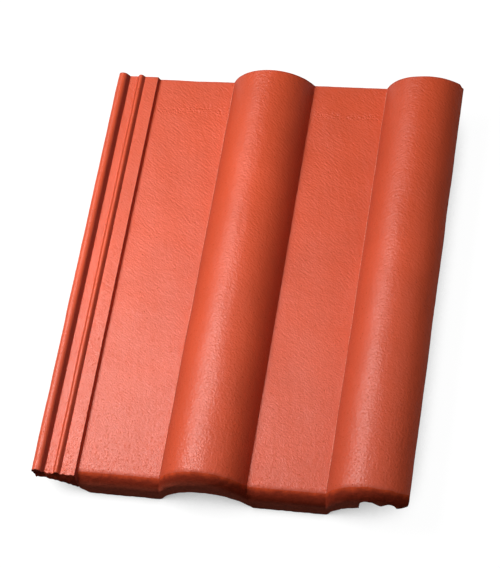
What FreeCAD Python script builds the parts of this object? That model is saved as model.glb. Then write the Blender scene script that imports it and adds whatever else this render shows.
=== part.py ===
import FreeCAD, Part
import math
import os

os.makedirs("parts", exist_ok=True)

# Interlocking double-roll roof tile, one piece of coated concrete, lying on a level floor.
# It is drawn with X from the side lock's free edge, Y from the foot to the head and Z from the pan's top.
# At the end it moves to its own frame: origin under the middle of its box, +Y to the head, +Z up.

# Overall sizes, mm
length = 420.0
cover_width = 300.0
lock_width = 39.5
body_thickness = 12.0
foot_drop = 27.0

# Rolls: two arcs, half a cover width apart
roll_radius = 44.0
roll_rise = 25.5
crest_to_edge = 34.0

# Side lock, which the next tile covers
lock_floor = 4.4
lock_web = 5.0
lock_step_run = 1.2
lock_edge_draft = 3.0
outer_rib_height = 11.0
outer_rib_radius = 4.9
outer_rib_foot = 11.3
inner_rib_height = 8.0
inner_rib_radius = 2.2
inner_rib_crest = 22.8
inner_rib_half_width = 3.7

# Cover lock, which hooks over the next tile's ribs
rib_clearance = 4.0
lip_clearance = 0.5
lip_round = 3.5
tooth_width = 5.0

# Foot: rounded nose and a lip shaped to sit on the course below
nose_radius = 13.5
nose_lean = 5.0
lip_length = 14.0
lap_clearance = 1.5
lip_end_run = 6.5
lock_setback = 3.5
lock_break_depth = 7.0

# Weather bar behind the foot's lip, under each pan
bar_setback = 24.0
bar_root = 10.0
bar_tip = 6.0
bar_lift = 4.0
bar_end_gap = 4.0

# Hanging nibs, one under each pan at the head
nib_setback = 28.0
nib_root_length = 20.0
nib_tip_length = 12.0
nib_root_width = 40.0
nib_tip_width = 30.0

# Places that follow from the sizes
width = cover_width + lock_width
second_crest = width - crest_to_edge
first_crest = second_crest - cover_width / 2
roll_centre_z = roll_rise - roll_radius
roll_half = math.sqrt(roll_radius**2 - roll_centre_z**2)
pan_start = lock_width + lock_step_run
pan_bottom = -body_thickness
lock_bottom = lock_floor - lock_web
hollow_radius = roll_radius - body_thickness
lap_radius = roll_radius + lap_clearance
lap_centre_z = roll_centre_z - foot_drop
covering_crest = second_crest - cover_width
groove_start = cover_width - rib_clearance


def at(x, z):
    """A point of the cross-section."""
    return FreeCAD.Vector(x, 0, z)


def height_on(crest, centre_z, radius, x):
    """Height of an arc over a roll at x."""
    return centre_z + math.sqrt(radius**2 - (x - crest) ** 2)


def reach_on(centre_z, radius, z):
    """Half the width of an arc over a roll at height z."""
    return math.sqrt(radius**2 - (z - centre_z) ** 2)


def arc_over(crest, centre_z, radius, start_x, end_x):
    """Arc step over a roll: a point on the way, then its end."""
    middle_x = (start_x + end_x) / 2
    middle = (middle_x, height_on(crest, centre_z, radius, middle_x))
    return [middle, (end_x, height_on(crest, centre_z, radius, end_x))]


def tangent_on(centre, radius, foot):
    """Where a line from the foot point touches a rib's round top."""
    run = foot[0] - centre[0]
    drop = centre[1] - foot[1]
    side = math.copysign(1, run)
    turn = math.acos(radius / math.hypot(run, drop)) - math.atan2(drop, abs(run))
    return (centre[0] + side * radius * math.cos(turn), centre[1] + radius * math.sin(turn))


def round_top(centre, radius, end):
    """Arc step over a rib's top, through its crest, down to the tangent point."""
    return [(centre[0], centre[1] + radius), end]


def trace(start, steps):
    """Edges from a start through steps, each an end point or a point on the way and an end point."""
    edges = []
    here = at(*start)
    for step in steps:
        there = at(*step[-1])
        if len(step) == 1:
            edges.append(Part.LineSegment(here, there).toShape())
        else:
            edges.append(Part.Arc(here, at(*step[0]), there).toShape())
        here = there
    return edges


def side_lock_top():
    """Outer rib, water channel, inner rib and shelf, from the free edge to the pan."""
    outer = (outer_rib_radius, outer_rib_height - outer_rib_radius)
    outer_foot = (outer_rib_foot, lock_floor)
    inner = (inner_rib_crest, inner_rib_height - inner_rib_radius)
    inner_left = (inner_rib_crest - inner_rib_half_width, lock_floor)
    inner_right = (inner_rib_crest + inner_rib_half_width, lock_floor)
    return [
        [(0, outer[1])],
        round_top(outer, outer_rib_radius, tangent_on(outer, outer_rib_radius, outer_foot)),
        [outer_foot],
        [inner_left],
        [tangent_on(inner, inner_rib_radius, inner_left)],
        round_top(inner, inner_rib_radius, tangent_on(inner, inner_rib_radius, inner_right)),
        [inner_right],
        [(lock_width, lock_floor)],
        [(pan_start, 0)],
    ]


def pans_and_rolls():
    """Weather face from the first pan to the covering edge."""
    return [
        [(first_crest - roll_half, 0)],
        arc_over(first_crest, roll_centre_z, roll_radius, first_crest - roll_half, first_crest + roll_half),
        [(second_crest - roll_half, 0)],
        arc_over(second_crest, roll_centre_z, roll_radius, second_crest - roll_half, width),
    ]


def cover_lock():
    """Underside of the covering edge, from its rounded lip to the hollow of the second roll."""
    lip_z = lock_floor + lip_clearance
    tongue_z = lock_floor + rib_clearance
    outer_x = cover_width + outer_rib_radius
    outer_z = outer_rib_height - outer_rib_radius
    outer_groove = outer_rib_radius + rib_clearance
    inner_x = cover_width + inner_rib_crest
    inner_z = inner_rib_height - inner_rib_radius
    inner_groove = inner_rib_radius + rib_clearance
    lip_start = inner_x + reach_on(inner_z, inner_groove, lip_z)
    tongue_end = inner_x - reach_on(inner_z, inner_groove, tongue_z)
    tongue_start = outer_x + reach_on(outer_z, outer_groove, tongue_z)
    corner = lip_round * (1 - math.sqrt(0.5))
    return [
        [(width, lip_z + lip_round)],
        [(width - corner, lip_z + corner), (width - lip_round, lip_z)],
        [(lip_start, lip_z)],
        [(inner_x, inner_z + inner_groove), (tongue_end, tongue_z)],
        [(tongue_start, tongue_z)],
        [(outer_x, outer_z + outer_groove), (groove_start, outer_z)],
    ]


def under_roll(start_x, centre_z, radius, base):
    """Underside from the second roll to the first pan: two hollows of one radius between flat runs."""
    reach = reach_on(centre_z, radius, base)
    return [
        [(start_x, height_on(second_crest, centre_z, radius, start_x))],
        arc_over(second_crest, centre_z, radius, start_x, second_crest - reach),
        [(first_crest + reach, base)],
        arc_over(first_crest, centre_z, radius, first_crest + reach, first_crest - reach),
    ]


def under_lock(start_x):
    """Underside of the side lock, arched over the covering roll of the course below."""
    arch_end = covering_crest + reach_on(lap_centre_z, lap_radius, lock_bottom)
    return [
        arc_over(covering_crest, lap_centre_z, lap_radius, start_x, arch_end),
        [(lock_edge_draft, lock_bottom)],
    ]


def body_underside():
    """Underside between the foot and the head, one thickness below the pans and rolls."""
    lock_end = covering_crest + reach_on(lap_centre_z, lap_radius, pan_bottom)
    tooth_start = groove_start - tooth_width
    tooth_tip = [(tooth_start, outer_rib_height - outer_rib_radius)]
    hollows = under_roll(tooth_start, roll_centre_z, hollow_radius, pan_bottom)
    return cover_lock() + [tooth_tip] + hollows + [[(lock_end, pan_bottom)]] + under_lock(lock_end)


def foot_underside():
    """Lower edge of the foot: the top of the laid course below, a lap clearance away."""
    lip_end = lock_width + lap_clearance
    lip_end_z = height_on(covering_crest, lap_centre_z, lap_radius, lip_end)
    hollows = under_roll(groove_start, lap_centre_z, lap_radius, -foot_drop)
    shoulder = [[(lip_end + lip_end_run, -foot_drop)], [(lip_end, lip_end_z)]]
    return cover_lock() + hollows + shoulder + under_lock(lip_end)


def slab(top, underside, start_y, end_y):
    """The section between a top and an underside, carried from one Y to another."""
    edges = trace((lock_edge_draft, lock_bottom), top + underside)
    face = Part.Face(Part.Wire(edges))
    face.translate(FreeCAD.Vector(0, start_y, 0))
    return face.extrude(FreeCAD.Vector(0, end_y - start_y, 0))


def nose_cutter_face(x, z):
    """Lengthwise section of what the rounded nose leaves out, in front of a top at height z."""
    def point(y, up):
        return FreeCAD.Vector(x, y, z + up)

    lean = math.radians(nose_lean)
    offset = nose_radius / (1 / math.tan(lean) - 1)
    centre = nose_radius + offset
    slack = centre - math.hypot(centre, offset) * math.sqrt(0.5)
    reach = 2 * nose_radius
    run = reach * math.cos(lean)
    rise = reach * math.sin(lean)
    far = roll_rise + foot_drop
    corners = [
        point(nose_radius, 0),
        point(nose_radius + run, rise),
        point(nose_radius + run, far),
        point(-far, far),
        point(-far, -nose_radius - run),
        point(-rise, -nose_radius - run),
        point(0, -nose_radius),
    ]
    round_edge = Part.Arc(corners[-1], point(slack, -slack), corners[0]).toShape()
    sides = [Part.LineSegment(a, b).toShape() for a, b in zip(corners, corners[1:])]
    return Part.Face(Part.Wire([round_edge] + sides))


def nose_cutter(start, step):
    """The nose's cutter carried along one run of the top, straight or arched, without turning."""
    face = nose_cutter_face(*start)
    end = step[-1]
    if len(step) == 1:
        return face.extrude(at(end[0] - start[0], end[1] - start[1]))
    spine = Part.Wire([Part.Arc(at(*start), at(*step[0]), at(*end)).toShape()])
    sweep = Part.BRepOffsetAPI.MakePipeShell(spine)
    sweep.setTrihedronMode(FreeCAD.Vector(0, 0, 0), FreeCAD.Vector(1, 0, 0))
    sweep.add(face.OuterWire)
    sweep.build()
    sweep.makeSolid()
    return Part.Solid(sweep.shape())


def foot_cutters():
    """All that is cut from the square foot: the nose over pans and rolls, and the side lock's shorter end."""
    cutters = []
    start = (pan_start, 0)
    for step in pans_and_rolls():
        cutters.append(nose_cutter(start, step))
        start = step[-1]
    break_bottom = lock_floor - lock_break_depth
    lock_end = [
        (-lock_setback, break_bottom),
        (0, break_bottom),
        (lock_setback, lock_floor),
        (lock_setback, outer_rib_height),
        (-lock_setback, outer_rib_height),
    ]
    points = [FreeCAD.Vector(0, y, z) for y, z in lock_end]
    wedge = Part.Face(Part.makePolygon(points + points[:1]))
    cutters.append(wedge.extrude(FreeCAD.Vector(pan_start, 0, 0)))
    return cutters


def weather_bar(start_x, end_x):
    """Tapered bar across the underside of a pan, held clear of the course below."""
    side = (bar_root - bar_tip) / 2
    tip_z = bar_lift - foot_drop
    corners = [
        (bar_setback, pan_bottom),
        (bar_setback + side, tip_z),
        (bar_setback + side + bar_tip, tip_z),
        (bar_setback + bar_root, pan_bottom),
    ]
    points = [FreeCAD.Vector(start_x, y, z) for y, z in corners]
    face = Part.Face(Part.makePolygon(points + points[:1]))
    return face.extrude(FreeCAD.Vector(end_x - start_x, 0, 0))


def hanging_nib(middle_x):
    """Nib with a square face to the batten and tapered on its other sides."""
    face_y = length - nib_setback

    def corners(wide, long, z):
        ends = [(-wide / 2, 0), (wide / 2, 0), (wide / 2, long), (-wide / 2, long)]
        return [FreeCAD.Vector(middle_x + x, face_y + y, z) for x, y in ends]

    def flat(points):
        return Part.Face(Part.makePolygon(points + points[:1]))

    root = corners(nib_root_width, nib_root_length, pan_bottom)
    tip = corners(nib_tip_width, nib_tip_length, -foot_drop)
    sides = [flat([root[i - 1], root[i], tip[i], tip[i - 1]]) for i in range(len(root))]
    return Part.Solid(Part.Shell([flat(root), flat(tip)] + sides))


def build_tile():
    """The whole tile as one solid, in its own frame."""
    top = side_lock_top() + pans_and_rolls()
    body = slab(top, body_underside(), lip_length, length)
    features = [slab(top, foot_underside(), 0, lip_length)]
    lap_reach = reach_on(lap_centre_z, lap_radius, -foot_drop)
    pans = [
        (lock_width + lap_clearance + lip_end_run, first_crest - lap_reach),
        (first_crest + lap_reach, second_crest - lap_reach),
    ]
    for start_x, end_x in pans:
        features.append(weather_bar(start_x + bar_end_gap, end_x - bar_end_gap))
        features.append(hanging_nib((start_x + end_x) / 2))
    blank = body.fuse(features).removeSplitter()
    tile = blank.cut(foot_cutters()).removeSplitter()
    tile.translate(FreeCAD.Vector(-width / 2, -length / 2, foot_drop))
    return tile.Solids[0]


build_tile().exportStep("parts/pantile.step")
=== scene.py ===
"""Looks of an interlocking double-roll roof tile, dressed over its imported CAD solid.

The tile is one numpy surface: a box of six grids whose top, underside and ends follow the tile's section.
Lengths in the formulas are in metres. The section is drawn as in the part: x from the side lock's free edge,
y from the foot and z from the pan's top. The last step moves it to the part's own frame.
"""

import math

import bpy
import numpy as np
from bpy.props import FloatProperty, FloatVectorProperty, PointerProperty
from mathutils import Matrix, Vector


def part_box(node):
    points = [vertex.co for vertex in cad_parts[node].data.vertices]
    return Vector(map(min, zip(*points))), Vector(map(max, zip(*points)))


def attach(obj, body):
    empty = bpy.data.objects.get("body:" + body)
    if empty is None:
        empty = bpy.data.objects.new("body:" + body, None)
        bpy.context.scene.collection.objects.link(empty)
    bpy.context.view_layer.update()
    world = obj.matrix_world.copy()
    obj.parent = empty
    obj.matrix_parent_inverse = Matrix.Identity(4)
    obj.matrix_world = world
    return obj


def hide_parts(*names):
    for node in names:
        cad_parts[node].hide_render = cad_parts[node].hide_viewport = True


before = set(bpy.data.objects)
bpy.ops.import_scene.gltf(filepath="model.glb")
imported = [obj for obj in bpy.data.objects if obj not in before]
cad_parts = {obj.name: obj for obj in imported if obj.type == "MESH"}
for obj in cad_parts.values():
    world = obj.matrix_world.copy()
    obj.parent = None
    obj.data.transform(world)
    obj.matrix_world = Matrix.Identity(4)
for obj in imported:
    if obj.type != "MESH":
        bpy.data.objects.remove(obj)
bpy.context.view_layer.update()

bl_info = {
    "name": "Roof tile looks",
    "version": (1, 0, 0),
    "blender": (4, 5, 0),
    "location": "3D View > Sidebar > Tile",
    "description": "Builds a coated concrete roof tile over its CAD solid, with its stage",
    "category": "Object",
}

MM = 0.001
NODE = "pantile"

# Places of the three materials in the mesh's list.
COAT, BARE, MATT_PAINTED_LIGHT = 0, 1, 2

# Places at which a curve is measured, size of the grid on which points are merged, and angle of a sharp edge.
FINE_STEPS = 8001
WELD = 1e-6
SHARP_ANGLE = math.radians(38)

# Noise of the surface: wavelength, number of waves and seed.
LONG_WAVES = (45 * MM, 16, 1)
SAND_LUMPS = (7 * MM, 48, 2)
NOSE_LUMPS = (6 * MM, 48, 3)
PUCKER_WANDER = (60 * MM, 6, 5)
WIDE_BREAKS = (5 * MM, 48, 7)
FINE_BREAKS = (2.4 * MM, 48, 8)
COAT_FLECKS = (5 * MM, 48, 9)
WIDE_BITES = (7 * MM, 48, 10)
FINE_BITES = (4 * MM, 48, 11)
SHADE_WANDER = (8 * MM, 48, 12)

# Lamps: name, azimuth and elevation in degrees, distance and width in metres, and level.
LAMPS = (
    ("key", -85, 61, 0.65, 0.3, 0.65),
    ("back", -120, 50, 1.6, 0.8, 0.36),
    ("fill", 90, 70, 1.6, 1.0, 0.15),
)

# Sky's strength, half the floor's width, sensor in mm, how far the camera sees, and the point it looks at.
WORLD_LEVEL = 0.03
FLOOR_HALF = 6.0
SENSOR_WIDTH = 36
VIEW_END = 50
CAMERA_TARGET = (-0.0035, -0.005, 0.027)


def linear(code):
    """Linear RGB of an sRGB hex colour: the inverse of the sRGB curve on each channel."""
    channels = [int(code[i:i + 2], 16) / 255 for i in (1, 3, 5)]
    return tuple(c / 12.92 if c <= 0.04045 else ((c + 0.055) / 1.055) ** 2.4 for c in channels)


def size(name, description, millimetres):
    """A length that a user may change, given in millimetres and held in metres."""
    return FloatProperty(
        name=name, description=description, default=millimetres * MM,
        subtype="DISTANCE", unit="LENGTH", precision=4)


def colour(name, description, code):
    """A colour that a user may change, given as sRGB hex and held as linear RGB."""
    return FloatVectorProperty(
        name=name, description=description, default=linear(code), subtype="COLOR", min=0, max=1, size=3)


class TileSizes(bpy.types.PropertyGroup):
    """Sizes of the tile's section and of its foot."""

    foot_drop: size("Foot drop", "Depth of the foot's lower edge under the pan's top", 27.0)
    body_thickness: size("Body thickness", "Thickness of pans and rolls", 12.0)
    roll_radius: size("Roll radius", "Radius of both rolls", 44.0)
    roll_rise: size("Roll rise", "Height of the rolls over the pans", 25.5)
    first_crest: size("First crest", "Place of the first roll's crest", 155.5)
    second_crest: size("Second crest", "Place of the second roll's crest", 305.5)
    cover_width: size("Cover width", "Distance between neighbouring tiles", 300.0)
    lock_width: size("Lock width", "Width of the side lock", 39.5)
    lock_step_run: size("Lock step", "Run of the step from the side lock to the pan", 1.2)
    lock_floor: size("Lock floor", "Height of the side lock's channel and shelf", 4.4)
    lock_bottom: size("Lock bottom", "Height of the side lock's underside", -0.6)
    lock_edge_draft: size("Edge draft", "Lean of the side lock's free edge", 3.0)
    outer_rib_height: size("Outer rib height", "Height of the rib on the free edge", 11.0)
    outer_rib_radius: size("Outer rib radius", "Radius of the rib on the free edge", 4.9)
    outer_rib_foot: size("Outer rib foot", "Where the outer rib's flank meets the channel", 11.3)
    inner_rib_height: size("Inner rib height", "Height of the rib between channel and shelf", 8.0)
    inner_rib_radius: size("Inner rib radius", "Radius of the rib between channel and shelf", 2.2)
    inner_rib_crest: size("Inner rib crest", "Place of the inner rib's crest", 22.8)
    inner_rib_half_width: size("Inner rib half width", "Half the width of the inner rib's base", 3.7)
    rib_clearance: size("Rib clearance", "Room round a neighbour's ribs in the cover lock", 4.0)
    lip_clearance: size("Lip clearance", "Room under the covering edge's lip", 0.5)
    lip_round: size("Lip round", "Radius of the covering edge's lower corner", 3.5)
    tooth_width: size("Tooth width", "Width of the tooth beside the outer groove", 5.0)
    nose_radius: size("Nose radius", "Radius of the foot's rounded nose", 13.5)
    lip_length: size("Foot lip length", "Length of the foot's lip along the tile", 14.0)
    lap_clearance: size("Lap clearance", "Room over the course below", 1.5)
    lip_end_run: size("Foot lip end", "Run of the foot lip's shoulder at the side lock", 6.5)
    lock_setback: size("Lock setback", "How far the side lock's end stands back from the foot", 3.5)
    lock_break_depth: size("Lock break depth", "Height over which the side lock's end slants", 7.0)
    bar_setback: size("Bar setback", "Place of the weather bars from the foot", 24.0)
    bar_root: size("Bar root", "Length of a weather bar at its root", 10.0)
    bar_tip: size("Bar tip", "Length of a weather bar at its tip", 6.0)
    bar_lift: size("Bar lift", "Room between a weather bar and the floor", 4.0)
    bar_end_gap: size("Bar end gap", "Room between a weather bar and its roll", 4.0)
    nib_setback: size("Nib setback", "Place of the nibs' batten face from the head", 28.0)
    nib_root_length: size("Nib root length", "Length of a nib at its root", 20.0)
    nib_tip_length: size("Nib tip length", "Length of a nib at its tip", 12.0)
    nib_root_width: size("Nib root width", "Width of a nib at its root", 40.0)
    nib_tip_width: size("Nib tip width", "Width of a nib at its tip", 30.0)
    mould_draft: size("Mould draft", "Run of the faces that the mould leaves almost upright", 0.4)


class TileFinish(bpy.types.PropertyGroup):
    """Colours and relief of the tile's surfaces."""

    coat: colour("Coat", "Acrylic coat on the weather face", "#DE542D")
    concrete: colour("Concrete", "Bare through-coloured concrete under the coat", "#8E4334")
    pit: colour("Pits", "Dark pits in the coat", "#93321C")
    # Painted shade: a dark red for the lower nose and steep flanks; on the side lock's broken end it is the
    # bare concrete's own colour.
    edge: colour("Nose", "Thin coat low on the foot's nose and on the side lock's end", "#8A2F1C")
    # Painted fill light: a paler colour put on the foot's face where the lamps leave it dark.
    face: colour("Foot's face", "Dusty concrete on the foot's face", "#CC6048")
    # Painted highlight: a paler colour dotted along the creases beside the rolls.
    crease_highlight_colour: colour("Beads", "Paler beads of coat in the creases beside the rolls", "#E9927A")
    sweep_relief: size("Long waves", "Height of the long waves that pressing leaves", 0.12)
    lump_relief: size("Lumps", "Height of the lumps of sand under the coat", 0.03)
    ripple_relief: size("Ripples", "Height of the ripples that the sprayed coat dries in", 0.34)
    nose_relief: size("Nose lumps", "Height of the lumps on the foot's rounded nose", 0.1)
    break_relief: size("Broken end", "Depth of the breaks on the side lock's end", 0.8)
    chip: size("Chip", "Depth of the chip in the head's corner on the covering edge", 2.4)
    ragged_relief: size("Ragged edge", "Depth of the breaks in the foot's lower edge", 0.8)


class StageSettings(bpy.types.PropertyGroup):
    """Floor and camera."""

    floor: colour("Floor", "Paper's own grey, which takes the lamps' shadow", "#606060")
    floor_glow: FloatProperty(
        name="Floor glow", description="White that the floor shows to the camera and in reflections",
        default=0.965, min=0, max=1)
    # Reach of the painted contact shadow in the floor's white glow.
    shadow_reach: size("Contact shadow", "How far over the floor the tile still dims it", 75.0)
    camera_azimuth: FloatProperty(
        name="Azimuth", description="Camera's turn round the tile from its foot", default=math.radians(29.05),
        subtype="ANGLE", unit="ROTATION")
    camera_elevation: FloatProperty(
        name="Elevation", description="Camera's angle over the floor", default=math.radians(61.32),
        subtype="ANGLE", unit="ROTATION")
    camera_roll: FloatProperty(
        name="Roll", description="Camera's turn about its own axis", default=math.radians(-22.23),
        subtype="ANGLE", unit="ROTATION")
    camera_distance: size("Distance", "Camera's distance from the tile", 1740.0)
    lens: FloatProperty(
        name="Lens", description="Focal length on a 36 mm sensor", default=120.327,
        subtype="NONE", unit="CAMERA")


def reach_on(centre_z, radius, z):
    """Half width of an arc at height z: the leg of a right triangle under its radius."""
    return math.sqrt(radius**2 - (z - centre_z) ** 2)


def arch(x, crest, centre_z, radius):
    """Height of an arc over x: its centre plus the other leg under its radius, or the centre past it."""
    return centre_z + np.sqrt(np.maximum(radius**2 - (x - crest) ** 2, 0))


def rib(x, crest, top, radius, foot_run, floor):
    """Height of a rib: a circle over its crest, then the tangent from that circle down to the floor.

    The tangent leaves the circle at the angle between the line to the foot and the radius that touches it.
    """
    drop = top - radius - floor
    turn = math.acos(radius / math.hypot(foot_run, drop)) - math.atan2(drop, foot_run)
    touch = radius * math.cos(turn)
    touch_z = top - radius + radius * math.sin(turn)
    run = np.abs(x - crest)
    flank = floor + (touch_z - floor) * (foot_run - run) / (foot_run - touch)
    return np.maximum(np.where(run < touch, arch(x, crest, top - radius, radius), flank), floor)


def step_between(x, start, end):
    """0 before start, 1 after end and a straight line between them."""
    return np.clip((x - start) / (end - start), 0, 1)


def smooth_step(x, start, end):
    """0 before start, 1 after end and a smooth cubic between them."""
    share = step_between(x, start, end)
    return share * share * (3 - 2 * share)


def plateau(x, rise_start, rise_end, fall_start, fall_end):
    """0 outside, 1 between the rise and the fall, and a straight line over each of them."""
    return step_between(x, rise_start, rise_end) * (1 - step_between(x, fall_start, fall_end))


class Section:
    """The tile's section: heights of its top, its underside and its foot's lower edge over x."""

    def __init__(self, s):
        low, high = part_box(NODE)
        self.width = high.x - low.x
        self.length = high.y - low.y
        self.s = s
        self.roll_z = s.roll_rise - s.roll_radius
        self.hollow_radius = s.roll_radius - s.body_thickness
        self.lap_radius = s.roll_radius + s.lap_clearance
        self.lap_z = self.roll_z - s.foot_drop
        self.covering_crest = s.second_crest - s.cover_width
        self.pan_start = s.lock_width + s.lock_step_run
        self.pan_bottom = -s.body_thickness
        self.roll_reach = reach_on(self.roll_z, s.roll_radius, 0)
        self.lap_reach = reach_on(self.lap_z, self.lap_radius, -s.foot_drop)
        self.groove_start = s.cover_width - s.rib_clearance
        self.tooth_start = self.groove_start - s.tooth_width
        self.lip_z = s.lock_floor + s.lip_clearance
        self.lip_end = s.lock_width + s.lap_clearance
        self.under_start = s.lock_edge_draft
        self.round_start = self.width - s.lip_round

    def lock_share(self, x):
        """1 on the side lock, 0 on the pans and rolls and a straight line over the step between them."""
        return 1 - step_between(x, self.s.lock_width, self.pan_start)

    def top(self, x):
        """Weather face: the lock's floor with two ribs, a step, then pans with two arcs standing on them."""
        s = self.s
        outside = arch(x, s.outer_rib_radius, s.outer_rib_height - s.outer_rib_radius, s.outer_rib_radius)
        inside = rib(x, s.outer_rib_radius, s.outer_rib_height, s.outer_rib_radius,
                     s.outer_rib_foot - s.outer_rib_radius, s.lock_floor)
        outer = np.where(x < s.outer_rib_radius, outside, inside)
        inner = rib(x, s.inner_rib_crest, s.inner_rib_height, s.inner_rib_radius,
                    s.inner_rib_half_width, s.lock_floor)
        lock = np.maximum(outer, inner)
        rolls = np.maximum(arch(x, s.first_crest, self.roll_z, s.roll_radius),
                           arch(x, s.second_crest, self.roll_z, s.roll_radius))
        share = self.lock_share(x)
        return share * lock + (1 - share) * np.maximum(rolls, 0)

    def cover_lock(self, x):
        """Covering edge's underside: arcs round the neighbour's ribs, a tongue between them, a lip."""
        s = self.s
        outer_x = s.cover_width + s.outer_rib_radius
        outer_z = s.outer_rib_height - s.outer_rib_radius
        outer = arch(x, outer_x, outer_z, s.outer_rib_radius + s.rib_clearance)
        inner_x = s.cover_width + s.inner_rib_crest
        inner_z = s.inner_rib_height - s.inner_rib_radius
        inner = arch(x, inner_x, inner_z, s.inner_rib_radius + s.rib_clearance)
        tongue = s.lock_floor + s.rib_clearance
        base = np.where(x < outer_x, outer_z, np.where(x < inner_x, tongue, self.lip_z))
        corner_z = self.lip_z + s.lip_round
        corner = 2 * corner_z - arch(x, self.round_start, corner_z, s.lip_round)
        base = np.where(x > self.round_start, corner, base)
        return np.maximum(np.where(x < (outer_x + inner_x) / 2, outer, inner), base)

    def lock_underside(self, x):
        """Side lock's underside: an arc over the covering roll of the course below, up to a flat edge."""
        return np.minimum(arch(x, self.covering_crest, self.lap_z, self.lap_radius), self.s.lock_bottom)

    def body(self, x):
        """Underside behind the foot: one thickness below pans and rolls, and the cover lock at its right."""
        hollows = np.maximum(arch(x, self.s.first_crest, self.roll_z, self.hollow_radius),
                             arch(x, self.s.second_crest, self.roll_z, self.hollow_radius))
        z = np.maximum(hollows, self.pan_bottom)
        near_lock = x < (self.pan_start + self.s.first_crest - self.roll_reach) / 2
        z = np.where(near_lock, np.maximum(self.lock_underside(x), self.pan_bottom), z)
        tooth_z = self.s.outer_rib_height - self.s.outer_rib_radius
        draft = self.s.mould_draft / 2
        z = z + (tooth_z - z) * step_between(x, self.tooth_start - draft, self.tooth_start + draft)
        return np.where(x > self.groove_start, self.cover_lock(x), z)

    def foot(self, x):
        """Foot's lower edge: arcs over the course below, flat runs, and a shoulder at the side lock."""
        s = self.s
        arches = np.maximum(arch(x, s.first_crest, self.lap_z, self.lap_radius),
                            arch(x, s.second_crest, self.lap_z, self.lap_radius))
        z = np.maximum(arches, -s.foot_drop)
        edge_z = arch(np.float64(self.lip_end), self.covering_crest, self.lap_z, self.lap_radius)
        shoulder_end = self.lip_end + s.lip_end_run
        shoulder = edge_z + (-s.foot_drop - edge_z) * step_between(x, self.lip_end, shoulder_end)
        z = np.where(x < shoulder_end, shoulder, z)
        z = np.where(x < self.lip_end, self.lock_underside(x), z)
        draft = s.mould_draft / 2
        start = s.outer_rib_height - s.outer_rib_radius
        z = z + (start - z) * step_between(x, self.groove_start - draft, self.groove_start + draft)
        return np.where(x > self.groove_start + draft, self.cover_lock(x), z)

    def lock_end(self, z):
        """How far the side lock's end stands back at z: upright above its floor, slanted below it."""
        s = self.s
        return s.lock_setback * step_between(z, s.lock_floor - s.lock_break_depth, s.lock_floor)

    def nose_start(self, thickness):
        """Angle where the nose's quarter circle starts: 0, or where it meets the underside of a thin edge."""
        left = (thickness - self.s.mould_draft) / self.s.nose_radius
        return np.arcsin(np.clip(1 - left, 0, 1))

    def nose_turn(self, y, start):
        """Angle on the nose for the row at y: its own angle, squeezed into what is left after the start."""
        turn = np.arccos(np.clip(1 - y / self.s.nose_radius, 0, 1))
        return start + (math.pi / 2 - start) * turn / (math.pi / 2)

    def nose_drop(self, x, y, start):
        """How far the nose falls below the section in the row at y, on pans and rolls only."""
        return (1 - self.lock_share(x)) * self.s.nose_radius * (1 - np.sin(self.nose_turn(y, start)))

    def along(self, x, y, z, start):
        """Place of the row at y: on the nose's circle or, on the side lock, squeezed up to the lock's end."""
        radius = self.s.nose_radius
        end = self.lock_end(z)
        on_nose = radius * (1 - np.cos(self.nose_turn(y, start)))
        on_lock = end + y * (1 - end / radius)
        share = self.lock_share(x)
        return np.where(y < radius, share * on_lock + (1 - share) * on_nose, y)

    def pans(self):
        """Start and end of the foot's two flat runs."""
        return [(self.lip_end + self.s.lip_end_run, self.s.first_crest - self.lap_reach),
                (self.s.first_crest + self.lap_reach, self.s.second_crest - self.lap_reach)]

    def fittings(self, x, y, z):
        """Weather bars and hanging nibs under z: each a tapered block, as the lowest of its sloping sides."""
        s = self.s
        bar_tip = s.bar_lift - s.foot_drop
        bar_side = (s.bar_root - s.bar_tip) / 2
        bar_end = s.bar_setback + s.bar_root
        face_y = self.length - s.nib_setback
        for start, end in self.pans():
            low = start + s.bar_end_gap
            high = end - s.bar_end_gap
            across = plateau(x, low, low + s.mould_draft, high - s.mould_draft, high)
            along = plateau(y, s.bar_setback, s.bar_setback + bar_side, bar_end - bar_side, bar_end)
            z = z + (np.minimum(bar_tip, z) - z) * np.minimum(across, along)
            run = np.abs(x - (start + end) / 2)
            across = 1 - step_between(run, s.nib_tip_width / 2, s.nib_root_width / 2)
            along = plateau(y, face_y, face_y + s.mould_draft,
                            face_y + s.nib_tip_length, face_y + s.nib_root_length)
            z = z + (np.minimum(-s.foot_drop, z) - z) * np.minimum(across, along)
        return z

    def underside(self, x, y):
        """Underside at x and y: the foot's lower edge along its lip, the body beyond it, and the fittings."""
        s = self.s
        lip = 1 - step_between(y, s.lip_length, s.lip_length + s.mould_draft)
        body = self.fittings(x, y, self.body(x))
        return body + (self.foot(x) - body) * lip


def spaced(low, high, weight, pitch):
    """Places from low to high whose pitch follows a weight: equal steps of the weight's running sum."""
    fine = np.linspace(low, high, FINE_STEPS)
    middle = (fine[1:] + fine[:-1]) / 2
    total = np.concatenate([[0], np.cumsum(weight(middle) * np.diff(fine))])
    return np.interp(np.linspace(0, total[-1], round(total[-1] / pitch)), total, fine)


def with_keys(places, keys, gap):
    """Places with the keys put in, and with those nearer than the gap to a key left out."""
    keys = np.asarray(sorted(keys))
    far = np.min(np.abs(places[:, None] - keys[None, :]), axis=1) > gap
    return np.sort(np.concatenate([places[far], keys]))


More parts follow.
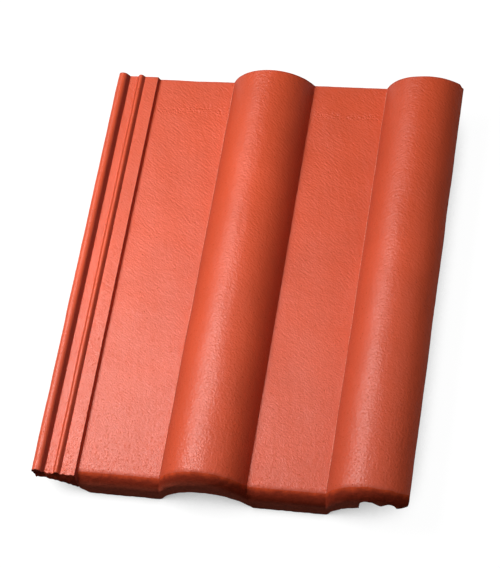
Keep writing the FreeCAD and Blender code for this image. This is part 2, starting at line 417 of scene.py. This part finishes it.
def tile_columns(section):
    """Columns across the underside: closer on the side lock and on steep parts, with every crease."""
    s = section.s
    draft = s.mould_draft / 2
    pitch = 3.9 * MM
    gap = 0.5 * MM
    lock_density = 2.4
    lip_steps = 6
    creases = [
        0, s.outer_rib_foot, s.inner_rib_crest - s.inner_rib_half_width, s.inner_rib_crest,
        s.inner_rib_crest + s.inner_rib_half_width, s.lock_width, section.pan_start,
        section.lip_end, section.lip_end + s.lip_end_run,
        s.first_crest - section.roll_reach, s.first_crest + section.roll_reach,
        s.first_crest - section.lap_reach, s.first_crest + section.lap_reach,
        s.second_crest - section.roll_reach, s.second_crest - section.lap_reach,
        section.tooth_start - draft, section.tooth_start + draft,
        section.groove_start - draft, section.groove_start + draft]
    lip_turn = np.linspace(0, math.pi / 2, lip_steps)
    creases.extend(section.round_start + s.lip_round * np.sin(lip_turn))

    def weight(x):
        """Length of the section over each x, times the side lock's density on the side lock."""
        rise = np.gradient(section.top(x), x)
        return np.sqrt(1 + rise**2) * (1 + (lock_density - 1) * (x < section.pan_start))

    return with_keys(spaced(0, section.width, weight, pitch), creases, gap)


def tile_rows(section):
    """Rows along the tile: equal angles round the nose, then a steady pitch, with the fittings' edges."""
    s = section.s
    nose_steps = 12
    pitch = 2.25 * MM
    gap = 0.7 * MM
    turn = np.linspace(0, math.pi / 2, nose_steps + 1)
    nose = s.nose_radius * (1 - np.cos(turn))
    body = spaced(s.nose_radius, section.length, np.ones_like, pitch)[1:]
    face_y = section.length - s.nib_setback
    bar_side = (s.bar_root - s.bar_tip) / 2
    edges = [
        s.lip_length, s.lip_length + s.mould_draft, s.bar_setback, s.bar_setback + bar_side,
        s.bar_setback + s.bar_root - bar_side, s.bar_setback + s.bar_root,
        face_y, face_y + s.mould_draft, face_y + s.nib_tip_length, face_y + s.nib_root_length, section.length]
    return np.concatenate([nose, with_keys(body, edges, gap)])


def grid_faces(start, rows, columns, flip):
    """Quads between the neighbours of a grid whose vertices are numbered row by row from start."""
    index = start + np.arange(rows * columns).reshape(rows, columns)
    quads = np.stack([index[:-1, :-1], index[:-1, 1:], index[1:, 1:], index[1:, :-1]], axis=-1).reshape(-1, 4)
    return quads[:, ::-1] if flip else quads


def seam_faces(fine_start, coarse_start, coarse_count, flip):
    """Five-sided faces that join a row of 2n-1 vertices to a row of n: two fine steps on each coarse one."""
    coarse = coarse_start + np.arange(coarse_count)
    fine = fine_start + np.arange(2 * coarse_count - 1)
    sides = np.stack([fine[:-2:2], fine[1:-1:2], fine[2::2], coarse[1:], coarse[:-1]], axis=-1)
    return sides[:, ::-1] if flip else sides


def stacked(x, y, z):
    """Grid of points from three arrays that spread to one shape."""
    return np.stack(np.broadcast_arrays(x, y, z), axis=-1)


def tile_surface(section):
    """The closed surface of the tile: points, and lists of faces with the material that each list takes.

    Six grids share their borders. Top: columns by rows at the top's height, less the nose. Underside: every
    second column. Sides and ends: straight lines from the top's border to the lower edge. Fine borders meet
    the coarse underside in five-sided faces. The coat ends on the nose, where the matt faces start.
    """
    s = section.s
    coarse = tile_columns(section)
    count = len(coarse)
    columns = np.interp(np.arange(2 * count - 1) / 2, np.arange(count), coarse)
    rows = tile_rows(section)
    end_steps = 7
    end_share = np.linspace(0, 1, end_steps)[:, None]
    blend = 12 * MM
    matt_turn = math.radians(76)
    under = np.interp(columns, [0, blend, section.width], [section.under_start, blend, section.width])

    y = rows[:, None]
    top_z = section.top(columns)
    edge_z = section.foot(under)
    start = section.nose_start(top_z - edge_z)
    top_y = section.along(columns, y, top_z, start)
    top = stacked(columns, top_y, top_z - section.nose_drop(columns, y, start))
    inner_x = under[::2]
    inner_y = section.along(inner_x, y, section.underside(inner_x, y), start[::2])
    inner = stacked(inner_x, inner_y, section.underside(inner_x, inner_y))[1:-1]

    end_x = columns + (under - columns) * end_share
    end_z = top[0, :, 2] + (edge_z - top[0, :, 2]) * end_share
    foot = stacked(end_x, section.along(columns, 0, end_z, start), end_z)
    head = stacked(end_x, section.length, top_z + (section.body(under) - top_z) * end_share)

    right_z = top[:, -1:, 2]
    right = stacked(section.width, top[:, -1:, 1], right_z + (edge_z[-1] - right_z) * end_share[:, 0])
    left_z = top_z[0] + (s.lock_bottom - top_z[0]) * end_share[:, 0]
    left = stacked(section.under_start * end_share[:, 0], section.along(0, y, left_z, 0), left_z)
    foot[0] = top[0]
    foot[:, 0] = left[0]
    foot[:, -1] = right[0]
    head[:, 0] = left[-1]
    head[:, -1] = right[-1]
    inner[:, 0] = left[1:-1, -1]
    inner[:, -1] = right[1:-1, -1]

    fine = len(columns)
    blocks = [block.reshape(-1, 3) for block in (top, foot, head, left, right, inner)]
    starts = np.cumsum([0] + [len(block) for block in blocks])
    last = (end_steps - 1) * fine
    inner_rows = len(rows) - 2
    matt_end = s.nose_radius * (1 - math.cos(matt_turn))
    matt = ((rows[1:, None] <= matt_end) & (columns[:-1] >= section.pan_start)).ravel()
    weather_face = grid_faces(starts[0], len(rows), fine, False)
    faces = [
        (COAT, weather_face[~matt]),
        (MATT_PAINTED_LIGHT, weather_face[matt]),
        (MATT_PAINTED_LIGHT, grid_faces(starts[1], end_steps, fine, True)),
        (BARE, grid_faces(starts[2], end_steps, fine, False)),
        (COAT, grid_faces(starts[3], len(rows), end_steps, True)),
        (MATT_PAINTED_LIGHT, grid_faces(starts[4], len(rows), end_steps, False)),
        (BARE, grid_faces(starts[5], inner_rows, count, True)),
        (BARE, seam_faces(starts[1] + last, starts[5], count, True)),
        (BARE, seam_faces(starts[2] + last, starts[5] + (inner_rows - 1) * count, count, False)),
    ]
    return np.concatenate(blocks), faces


def welded(points, faces):
    """Points with doubles merged, and the faces renumbered: points on one micrometre are one."""
    whole = np.round(points / WELD).astype(np.int64)
    _, first, number = np.unique(whole, axis=0, return_index=True, return_inverse=True)
    number = number.reshape(-1)
    return points[first], [(slot, number[corners]) for slot, corners in faces]


def point_normals(points, faces):
    """Unit normal at each point: the sum of the cross products of its faces' diagonals."""
    shortest = 1e-12
    total = np.zeros_like(points)
    for _, corners in faces:
        diagonal = points[corners[:, 2]] - points[corners[:, 0]]
        cross = np.cross(diagonal, points[corners[:, 3]] - points[corners[:, 1]])
        for corner in corners.T:
            np.add.at(total, corner, cross)
    return total / np.maximum(np.linalg.norm(total, axis=1, keepdims=True), shortest)


def waves(points, wavelength, count, seed):
    """Smooth noise of about unit height: a sum of plane cosines in random directions, near one wavelength."""
    shortest, longest = 0.7, 1.5
    chance = np.random.default_rng(seed)
    heading = chance.normal(size=(count, 3))
    heading /= np.linalg.norm(heading, axis=1, keepdims=True)
    pitch = wavelength * chance.uniform(shortest, longest, count)
    phase = chance.uniform(0, 2 * math.pi, count)
    angle = points @ (heading / pitch[:, None]).T * 2 * math.pi + phase
    return np.cos(angle).sum(axis=1) / math.sqrt(count / 2)


def relief(section, finish, points):
    """Height of the surface's relief: long waves, lumps of sand, and larger lumps round the foot's nose."""
    radius = section.s.nose_radius
    near_nose = 1 - smooth_step(points[:, 1], 0.6 * radius, 1.5 * radius)
    height = finish.sweep_relief * waves(points, *LONG_WAVES)
    height += finish.lump_relief * waves(points, *SAND_LUMPS)
    height += finish.nose_relief * near_nose * waves(points, *NOSE_LUMPS)
    return height


def rough_break(points, level, wide_share, wide, fine_share, fine):
    """Depth of a broken edge: a level and shares of a wide and a fine noise, cut off at both ends."""
    deepest = 1.6
    rough = level + wide_share * waves(points, *wide) + fine_share * waves(points, *fine)
    return np.clip(rough, 0, deepest)


def broken_end(section, finish, points):
    """How far the side lock's end is broken back: rough noise that fades out behind the end."""
    x, y, _ = points.T
    near = 1 - smooth_step(y, 3 * MM, 9 * MM)
    rough = rough_break(points, 0.6, 0.4, WIDE_BREAKS, 0.25, FINE_BREAKS)
    return finish.break_relief * section.lock_share(x) * near * rough


def chipped_corner(section, finish, points):
    """How far the head's corner on the covering edge is chipped: full at the corner, gone within 8 mm."""
    x, y, _ = points.T
    across = 1 - smooth_step(section.width - x, 0.8 * MM, 3.5 * MM)
    return finish.chip * across * (1 - smooth_step(section.length - y, 1 * MM, 8 * MM))


def ragged_edge(section, finish, points):
    """How far the foot's lower edge is broken up: rough noise that fades out up the face and behind it."""
    x, y, z = points.T
    near = (1 - smooth_step(z - section.foot(x), 0.5 * MM, 4 * MM)) * (1 - smooth_step(y, 1 * MM, 6 * MM))
    rough = rough_break(points, 0.35, 0.5, WIDE_BITES, 0.35, FINE_BITES)
    return finish.ragged_relief * (1 - section.lock_share(x)) * near * rough


def new_mesh(name, points, faces):
    """A mesh from points and lists of faces, smooth with sharp creases, with each list's material."""
    mesh = bpy.data.meshes.new(name)
    mesh.from_pydata(points.tolist(), [], [face for _, corners in faces for face in corners.tolist()])
    slots = np.concatenate([np.full(len(corners), slot, np.int32) for slot, corners in faces])
    mesh.polygons.foreach_set("material_index", slots)
    mesh.polygons.foreach_set("use_smooth", np.ones(len(slots), bool))
    mesh.set_sharp_from_angle(angle=SHARP_ANGLE)
    mesh.update()
    return mesh


def crease_line(section, points):
    """Where the painted highlight goes: 1 on the creases between a pan and the roll at its right, falling to
    0 within
    1.5 mm of them.
    """
    reach = 1.5 * MM
    starts = [crest - section.roll_reach for crest in (section.s.first_crest, section.s.second_crest)]
    away = np.min([np.abs(points[:, 0] - start) for start in starts], axis=0)
    return np.clip(1 - away / reach, 0, 1)


def painted_light_and_bare_share(section, points, normals):
    """How much painted light the coat and the matt faces take, and where bare concrete shows.

    It is 1 on the side lock's end, which is bare concrete. Painted shade is 1 low on the foot's nose, falling
    to 0 up the nose at a limit that wanders, with flecks of coat left on the lower edge. Painted fill light
    adds 1 on the foot's face, and climbs higher on the first pan than beyond the first roll. Elsewhere
    painted shade grows with the slope, as one less the upward part of the normal, up to a limit. It is
    doubled on the side lock's faces turned towards +X, is 0 on the free edge, and falls by half close to the
    covering edge. In the coat the same share also raises the roughness.
    """
    full_shade_turn, no_shade_turn = math.radians(58), math.radians(86)
    wander_turn = math.radians(3)
    face_light_start, face_light_end, face_light_fall = math.radians(8), math.radians(48), math.radians(20)
    fleck_coat = 0.8
    unshaded_up, most_on_slope = 0.93, 0.45
    shade_cut_at_cover = 0.5
    free_edge = 2 * MM
    x, y, z = points.T
    radius = section.s.nose_radius
    crest = section.s.first_crest
    turn = np.arccos(np.clip(1 - y / radius, 0, 1))
    wander = wander_turn * waves(points, *SHADE_WANDER) * (1 - smooth_step(y, 0.6 * radius, radius))
    # Painted shade down the nose: none above the upper angle, full below the lower one, along a wandering
    # limit.
    on_nose = 1 - step_between(turn + wander, full_shade_turn, no_shade_turn)
    low = 1 - smooth_step(z - section.foot(x), 1 * MM, 2.5 * MM)
    fleck = smooth_step(waves(points, *COAT_FLECKS), 0.6, 1.2) * low
    on_nose = on_nose * (1 - fleck_coat * fleck * (y < 1 * MM))
    # Painted fill light on the foot's face, reaching higher on the first pan than beyond the first roll.
    face_light_top = face_light_end - face_light_fall * smooth_step(x, crest, crest + section.roll_reach)
    on_nose = on_nose + 1 - smooth_step(turn, face_light_start, face_light_top)
    share = section.lock_share(x)
    # Painted shade on slopes, doubled on the side lock's faces turned towards +X and halved close to the
    # covering edge.
    shaded_side_of_lock = share * (normals[:, 0] > 0)
    on_slope = np.clip(1 - normals[:, 2] / unshaded_up, 0, most_on_slope) * (1 + shaded_side_of_lock) * (x > free_edge)
    on_slope = on_slope * (1 - shade_cut_at_cover * smooth_step(x, section.width - 10 * MM, section.width - 3 * MM))
    lock_end = section.lock_end(z)
    on_lock = 1 - smooth_step(y, lock_end + 0.2 * MM, lock_end + 0.8 * MM)
    return np.maximum(share * on_lock + (1 - share) * on_nose, on_slope)


def coarse_peel(section, points):
    """How much coarser than elsewhere the coat has dried.

    Most on a wandering line across the pans below the head, where it has puckered. Less towards the foot, on
    the rolls' crowns and on the side lock, and the crowns gain more towards the foot.
    """
    pucker_gain, foot_gain, crown_gain, crown_foot_gain, lock_gain = 2.6, 0.5, 0.45, 0.4, 0.3
    rise = section.s.roll_rise
    x, y, z = points.T
    line_y = section.length - 33 * MM + 1.5 * MM * waves(points, *PUCKER_WANDER)
    pucker = np.exp(-(((y - line_y) / (4 * MM)) ** 2)) * (np.abs(z) < 1 * MM) * (x > section.pan_start)
    crown = smooth_step(z, 0.4 * rise, 0.9 * rise)
    near_foot = 1 - smooth_step(y, 60 * MM, 180 * MM)
    on_body = pucker_gain * pucker + foot_gain * near_foot
    on_rolls = (crown_gain + crown_foot_gain * near_foot) * crown
    return on_body + on_rolls + lock_gain * section.lock_share(x)


def ripple_lines(section, points):
    """Coordinates along and across the coat's ripples.

    Along is the arc length over the section. Across is the distance from the foot, round the nose, less the
    run of the ripples: they slant towards the foot on the pans and on each roll's right, and towards the head
    on each roll's left.
    """
    s = section.s
    pan_slant, left_slant = -0.65, 1.0
    x, y, z = points.T
    fine = np.linspace(0, section.width, FINE_STEPS)
    top = section.top(fine)
    arc = np.concatenate([[0], np.cumsum(np.hypot(np.diff(fine), np.diff(top)))])
    slant = np.full_like(fine, pan_slant)
    for crest in (s.first_crest, s.second_crest):
        left = smooth_step(fine, crest - section.roll_reach, crest - 0.75 * section.roll_reach)
        past = smooth_step(fine, crest - 0.55 * section.roll_reach, crest)
        slant += (left_slant - pan_slant) * left * (1 - past)
    run = np.concatenate([[0], np.cumsum(slant[1:] * np.diff(arc))])
    drop = np.maximum(section.top(x) - z, 0)
    return stacked(np.interp(x, fine, arc), y - drop - np.interp(x, fine, run), 0)


def add(tree, kind, inputs=(), **settings):
    """One node of a tree, with its settings, and each input either linked from a socket or set to a value."""
    made = tree.nodes.new(kind)
    for name, value in settings.items():
        setattr(made, name, value)
    for name, value in dict(inputs).items():
        if isinstance(value, bpy.types.NodeSocket):
            tree.links.new(value, made.inputs[name])
        else:
            made.inputs[name].default_value = value
    return made


def new_material(name):
    """A material with an empty tree and its output."""
    material = bpy.data.materials.new(name)
    material.use_nodes = True
    material.node_tree.nodes.clear()
    return material, material.node_tree, add(material.node_tree, "ShaderNodeOutputMaterial")


def per_mm(millimetres):
    """Scale of a texture whose features are that many millimetres across."""
    return 1 / (millimetres * MM)


def calc(tree, operation, *values, **settings):
    """Result of one step of arithmetic on sockets and numbers."""
    return add(tree, "ShaderNodeMath", enumerate(values), operation=operation, **settings).outputs["Value"]


def ranged(tree, value, low, high, to_low, to_high):
    """A value carried from the range low to high over to another range, and held inside it."""
    made = add(tree, "ShaderNodeMapRange", {
        "Value": value, "From Min": low, "From Max": high, "To Min": to_low, "To Max": to_high})
    return made.outputs["Result"]


def noise(tree, place, millimetres, detail, roughness=0.5):
    """Noise over a place, with features that many millimetres across."""
    made = add(tree, "ShaderNodeTexNoise", {
        "Vector": place, "Scale": per_mm(millimetres), "Detail": detail, "Roughness": roughness})
    return made.outputs["Fac"]


def mixed(tree, share, first, second):
    """A colour between two, by the share of the second."""
    return add(tree, "ShaderNodeMix", {0: share, 6: first, 7: second}, data_type="RGBA").outputs[2]


def tinted(tree, base, factor):
    """A colour times a factor."""
    return add(tree, "ShaderNodeVectorMath", {0: base, "Scale": factor}, operation="SCALE").outputs["Vector"]


def share_of(tree, name):
    """A share that the mesh holds for each of its points."""
    return add(tree, "ShaderNodeAttribute", attribute_name=name).outputs["Fac"]


def acrylic_coated_concrete(finish):
    """Acrylic coat sprayed on pressed concrete: satin, with the sand's grain showing through as orange peel.

    To the eye it is one brick red whose small bumps break the light, with a painted highlight dotted along
    the creases, painted shade on steep flanks and high on the nose, a few dark pits and fine pinholes that
    thin out towards the head, the pits and pinholes duller than the coat. The pinholes are drawn coarser than
    real ones, because those would not show in the render.
    """
    foot_y, head_y = -0.2, 0.12
    ripple_stretch = (0.5, 1, 1)
    pit_limit, pinhole_limit = 0.5, 0.45
    pit_dullness = 4.0
    matt = 0.9
    fine_share, lump_share, pit_share = 0.35, 0.85, -0.08
    noise_middle = 0.5
    material, tree, out = new_material("acrylic_coated_pressed_concrete")
    place = add(tree, "ShaderNodeTexCoord").outputs["Object"]
    lines = add(tree, "ShaderNodeAttribute", attribute_name="ripple").outputs["Vector"]
    drawn = add(tree, "ShaderNodeVectorMath", {0: lines, 1: ripple_stretch}, operation="MULTIPLY")
    ripple = noise(tree, drawn.outputs["Vector"], 2.1, 2.0)
    speck = noise(tree, lines, 1.5, 3.0, 0.6)
    along = add(tree, "ShaderNodeSeparateXYZ", {"Vector": place}).outputs["Y"]
    to_head = ranged(tree, along, foot_y, head_y, 0.2, 0.9)
    grain = add(tree, "ShaderNodeMix", {0: to_head, 2: speck, 3: ripple}, data_type="FLOAT").outputs[0]
    fine = noise(tree, place, 1.8, 1.0)
    cloud = noise(tree, place, 60, 3.0)
    tint = ranged(tree, cloud, 0.3, 0.7, 0.94, 1.05)
    base = tinted(tree, (*finish.coat,), tint)

    pits = add(tree, "ShaderNodeTexVoronoi", {"Vector": place, "Scale": per_mm(6.5)}, feature="F1")
    hole = ranged(tree, pits.outputs["Distance"], 0.05, 0.13, 0.45, 0.0)
    rare = calc(tree, "GREATER_THAN", pits.outputs["Color"], pit_limit)
    wide = calc(tree, "MULTIPLY", hole, rare)
    pinholes = add(tree, "ShaderNodeTexVoronoi", {"Vector": place, "Scale": per_mm(2.8)}, feature="F1")
    prick = ranged(tree, pinholes.outputs["Distance"], 0.12, 0.34, 0.24, 0.0)
    to_foot = ranged(tree, along, foot_y, head_y, 0.8, 0.3)
    some = calc(tree, "GREATER_THAN", pinholes.outputs["Color"], pinhole_limit)
    pricked = calc(tree, "MULTIPLY", prick, some)
    narrow = calc(tree, "MULTIPLY", pricked, to_foot)
    spot = calc(tree, "MAXIMUM", wide, narrow)
    pitted = mixed(tree, spot, base, (*finish.pit, 1))

    # Painted highlight along the creases beside the rolls.
    crease_highlight_mask = share_of(tree, "crease_highlight_mask")
    dotted = calc(tree, "MULTIPLY", crease_highlight_mask, fine)
    painted_highlight = ranged(tree, dotted, 0.36, 0.56, 0.0, 1.0)
    coated = mixed(tree, painted_highlight, pitted, (*finish.crease_highlight_colour, 1))
    # Painted shade on steep flanks and high on the nose, and bare concrete on the side lock's end; the share
    # also dulls the coat.
    painted_light_and_bare = share_of(tree, "painted_light_and_bare")
    body = mixed(tree, painted_light_and_bare, coated, (*finish.edge, 1))
    satin = ranged(tree, fine, 0.3, 0.7, 0.36, 0.48)
    dulled = calc(tree, "MULTIPLY_ADD", spot, pit_dullness, painted_light_and_bare, use_clamp=True)
    rough = add(tree, "ShaderNodeMix", {0: dulled, 2: satin, 3: matt}, data_type="FLOAT").outputs[0]

    peel = calc(tree, "MULTIPLY_ADD", fine, fine_share, grain)
    coarse = share_of(tree, "coarse")
    lump = noise(tree, place, 2.1, 1.0)
    level = calc(tree, "SUBTRACT", lump, noise_middle)
    risen = calc(tree, "MULTIPLY", level, coarse)
    rough_peel = calc(tree, "MULTIPLY_ADD", risen, lump_share, peel)
    height = calc(tree, "MULTIPLY_ADD", spot, pit_share, rough_peel)
    bump = add(tree, "ShaderNodeBump", {"Height": height, "Strength": 1.0, "Distance": finish.ripple_relief})
    shader = add(tree, "ShaderNodeBsdfPrincipled", {
        "Base Color": body, "Roughness": rough, "IOR": 1.53, "Normal": bump.outputs["Normal"]})
    tree.links.new(shader.outputs["BSDF"], out.inputs["Surface"])
    return material


def matt_concrete_with_painted_light(finish):
    """Matt concrete on the foot's nose, on its face and on the covering edge's side.

    To the eye the coat's red darkens down the nose to a matt brown as painted shade, and painted fill light
    makes the face paler again.
    """
    sand_relief = 0.35 * MM
    material, tree, out = new_material("matt_pressed_concrete_with_painted_light")
    place = add(tree, "ShaderNodeTexCoord").outputs["Object"]
    sand = noise(tree, place, 1.8, 3.0, 0.6)
    painted_light_and_bare = share_of(tree, "painted_light_and_bare")
    # Painted shade: the coat's red darkens down the nose and on the covering edge's side.
    painted_shade_red = mixed(tree, painted_light_and_bare, (*finish.coat, 1), (*finish.edge, 1))
    # Painted fill light: a paler colour on the foot's face.
    painted_fill = calc(tree, "SUBTRACT", painted_light_and_bare, 1.0, use_clamp=True)
    with_painted_fill = mixed(tree, painted_fill, painted_shade_red, (*finish.face, 1))
    tint = ranged(tree, sand, 0.3, 0.7, 0.85, 1.15)
    base = tinted(tree, with_painted_fill, tint)
    bump = add(tree, "ShaderNodeBump", {"Height": sand, "Strength": 1.0, "Distance": sand_relief})
    shader = add(tree, "ShaderNodeBsdfPrincipled", {
        "Base Color": base, "Roughness": 0.8, "Specular IOR Level": 0.05, "IOR": 1.5,
        "Normal": bump.outputs["Normal"]})
    tree.links.new(shader.outputs["BSDF"], out.inputs["Surface"])
    return material


def bare_concrete(finish):
    """Through-coloured concrete as the cutter and the pallet leave it.

    To the eye it is matt, sandy, clouded and duller than the coat.
    """
    sand_relief = 0.6 * MM
    material, tree, out = new_material("bare_through_coloured_concrete")
    place = add(tree, "ShaderNodeTexCoord").outputs["Object"]
    sand = noise(tree, place, 1.6, 3.0, 0.7)
    cloud = noise(tree, place, 25, 3.0)
    both = calc(tree, "ADD", sand, cloud)
    tint = ranged(tree, both, 0.7, 1.3, 0.7, 1.25)
    base = tinted(tree, (*finish.concrete,), tint)
    bump = add(tree, "ShaderNodeBump", {"Height": sand, "Strength": 1.0, "Distance": sand_relief})
    shader = add(tree, "ShaderNodeBsdfPrincipled", {
        "Base Color": base, "Roughness": 0.85, "Specular IOR Level": 0.2, "IOR": 1.5,
        "Normal": bump.outputs["Normal"]})
    tree.links.new(shader.outputs["BSDF"], out.inputs["Surface"])
    return material


class TILE_OT_body(bpy.types.Operator):
    """Build the tile's surface over its CAD solid and give it its finish"""

    bl_idname = "tile.body"
    bl_label = "Tile"

    def execute(self, context):
        finish = context.scene.tile_finish
        section = Section(context.scene.tile_sizes)
        points, faces = welded(*tile_surface(section))
        normals = point_normals(points, faces)
        raised = points + normals * relief(section, finish, points)[:, None]
        raised[:, 1] += broken_end(section, finish, points) - chipped_corner(section, finish, points)
        raised[:, 2] += ragged_edge(section, finish, points)
        moved = raised - np.array((section.width / 2, section.length / 2, -section.s.foot_drop))
        moved = np.clip(moved, *(np.array(corner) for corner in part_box(NODE)))
        mesh = new_mesh("coated_tile", moved, faces)
        shares = {
            "crease_highlight_mask": crease_line(section, points),
            "coarse": coarse_peel(section, points),
            "painted_light_and_bare": painted_light_and_bare_share(section, points, normals),
        }
        for name, values in shares.items():
            mesh.attributes.new(name, "FLOAT", "POINT").data.foreach_set("value", values.astype(np.float32))
        mesh.attributes.new("ripple", "FLOAT_VECTOR", "POINT").data.foreach_set(
            "vector", ripple_lines(section, points).astype(np.float32).ravel())
        mesh.materials.append(acrylic_coated_concrete(finish))
        mesh.materials.append(bare_concrete(finish))
        mesh.materials.append(matt_concrete_with_painted_light(finish))
        tile = bpy.data.objects.new("coated_tile", mesh)
        context.scene.collection.objects.link(tile)
        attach(tile, "root")
        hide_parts(NODE)
        return {"FINISHED"}


def direction(azimuth, elevation):
    """Unit vector out of the tile: azimuth turns from the foot towards +X, elevation is over the floor."""
    flat = math.cos(elevation)
    return Vector((math.sin(azimuth) * flat, -math.cos(azimuth) * flat, math.sin(elevation)))


def aimed(back, roll):
    """Turn whose own +Z is the given direction: +X level, then rolled about that direction."""
    right = Vector((0, 0, 1)).cross(back).normalized()
    up = back.cross(right)
    across = right * math.cos(roll) + up * math.sin(roll)
    return Matrix((across, back.cross(across), back)).transposed().to_4x4()


def soft_lamp(name, azimuth, elevation, distance, width, level):
    """Square lamp facing the tile; level is what a white card that faces it would render as."""
    data = bpy.data.lights.new(name, "AREA")
    data.shape = "SQUARE"
    data.size = width
    data.energy = level * math.pi**2 * distance**2
    lamp = bpy.data.objects.new(name, data)
    bpy.context.scene.collection.objects.link(lamp)
    back = direction(math.radians(azimuth), math.radians(elevation))
    lamp.matrix_world = Matrix.Translation(back * distance) @ aimed(back, 0)


def pale_floor(settings):
    """Matt paper sweep, in a grey that takes the lamps' shadow.

    To the eye it is white: camera and reflections see a white on top of it, which dims close to the tile as a
    painted contact shadow.
    """
    material, tree, out = new_material("matt_paper_sweep")
    grey = add(tree, "ShaderNodeBsdfDiffuse", {"Color": (*settings.floor, 1)})
    path = add(tree, "ShaderNodeLightPath")
    seen = calc(tree, "MAXIMUM", path.outputs["Is Camera Ray"], path.outputs["Is Glossy Ray"])
    seen = calc(tree, "MAXIMUM", seen, path.outputs["Is Transmission Ray"])
    # Painted contact shadow: ambient occlusion dims the white glow close to the tile.
    near = add(tree, "ShaderNodeAmbientOcclusion", {"Distance": settings.shadow_reach}, samples=16)
    open_share = ranged(tree, near.outputs["AO"], 0.3, 0.65, 0.38, 1.0)
    glow = calc(tree, "MULTIPLY", open_share, settings.floor_glow)
    share = calc(tree, "MULTIPLY", seen, glow)
    white = add(tree, "ShaderNodeEmission", {"Color": (1, 1, 1, 1), "Strength": share})
    both = add(tree, "ShaderNodeAddShader", {0: grey.outputs["BSDF"], 1: white.outputs["Emission"]})
    tree.links.new(both.outputs["Shader"], out.inputs["Surface"])
    return material


class TILE_OT_stage(bpy.types.Operator):
    """Build the floor, the lamps and the camera"""

    bl_idname = "tile.stage"
    bl_label = "Stage"

    def execute(self, context):
        scene = context.scene
        settings = scene.tile_stage
        corners = [(x * FLOOR_HALF, y * FLOOR_HALF, 0) for x, y in ((-1, -1), (1, -1), (1, 1), (-1, 1))]
        mesh = bpy.data.meshes.new("floor")
        mesh.from_pydata(corners, [], [(0, 1, 2, 3)])
        mesh.materials.append(pale_floor(settings))
        floor = bpy.data.objects.new("floor", mesh)
        scene.collection.objects.link(floor)
        for lamp in LAMPS:
            soft_lamp(*lamp)
        world = bpy.data.worlds.new("dim_studio")
        world.use_nodes = True
        sky = world.node_tree.nodes["Background"]
        sky.inputs["Color"].default_value = (1, 1, 1, 1)
        sky.inputs["Strength"].default_value = WORLD_LEVEL
        scene.world = world
        data = bpy.data.cameras.new("camera")
        data.lens = settings.lens
        data.sensor_width = SENSOR_WIDTH
        data.clip_end = VIEW_END
        camera = bpy.data.objects.new("camera", data)
        scene.collection.objects.link(camera)
        back = direction(settings.camera_azimuth, settings.camera_elevation)
        place = Vector(CAMERA_TARGET) + back * settings.camera_distance
        camera.matrix_world = Matrix.Translation(place) @ aimed(back, settings.camera_roll)
        scene.camera = camera
        scene.view_settings.view_transform = "Standard"
        return {"FINISHED"}


class TILE_PT_panel(bpy.types.Panel):
    """Sidebar panel with the tile's sizes, its finish, its stage and what builds them"""

    bl_idname = "TILE_PT_panel"
    bl_label = "Roof tile"
    bl_space_type = "VIEW_3D"
    bl_region_type = "UI"
    bl_category = "Tile"

    def draw(self, context):
        for group in (context.scene.tile_sizes, context.scene.tile_finish, context.scene.tile_stage):
            for name in group.__annotations__:
                self.layout.prop(group, name)
        self.layout.operator(TILE_OT_body.bl_idname)
        self.layout.operator(TILE_OT_stage.bl_idname)


classes = (TileSizes, TileFinish, StageSettings, TILE_OT_body, TILE_OT_stage, TILE_PT_panel)


def register():
    for kind in classes:
        bpy.utils.register_class(kind)
    bpy.types.Scene.tile_sizes = PointerProperty(type=TileSizes)
    bpy.types.Scene.tile_finish = PointerProperty(type=TileFinish)
    bpy.types.Scene.tile_stage = PointerProperty(type=StageSettings)


def unregister():
    del bpy.types.Scene.tile_stage
    del bpy.types.Scene.tile_finish
    del bpy.types.Scene.tile_sizes
    for kind in reversed(classes):
        bpy.utils.unregister_class(kind)


def main():
    """Registers the classes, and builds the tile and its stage."""
    register()
    bpy.ops.tile.body()
    bpy.ops.tile.stage()


if __name__ == "__main__":
    main()
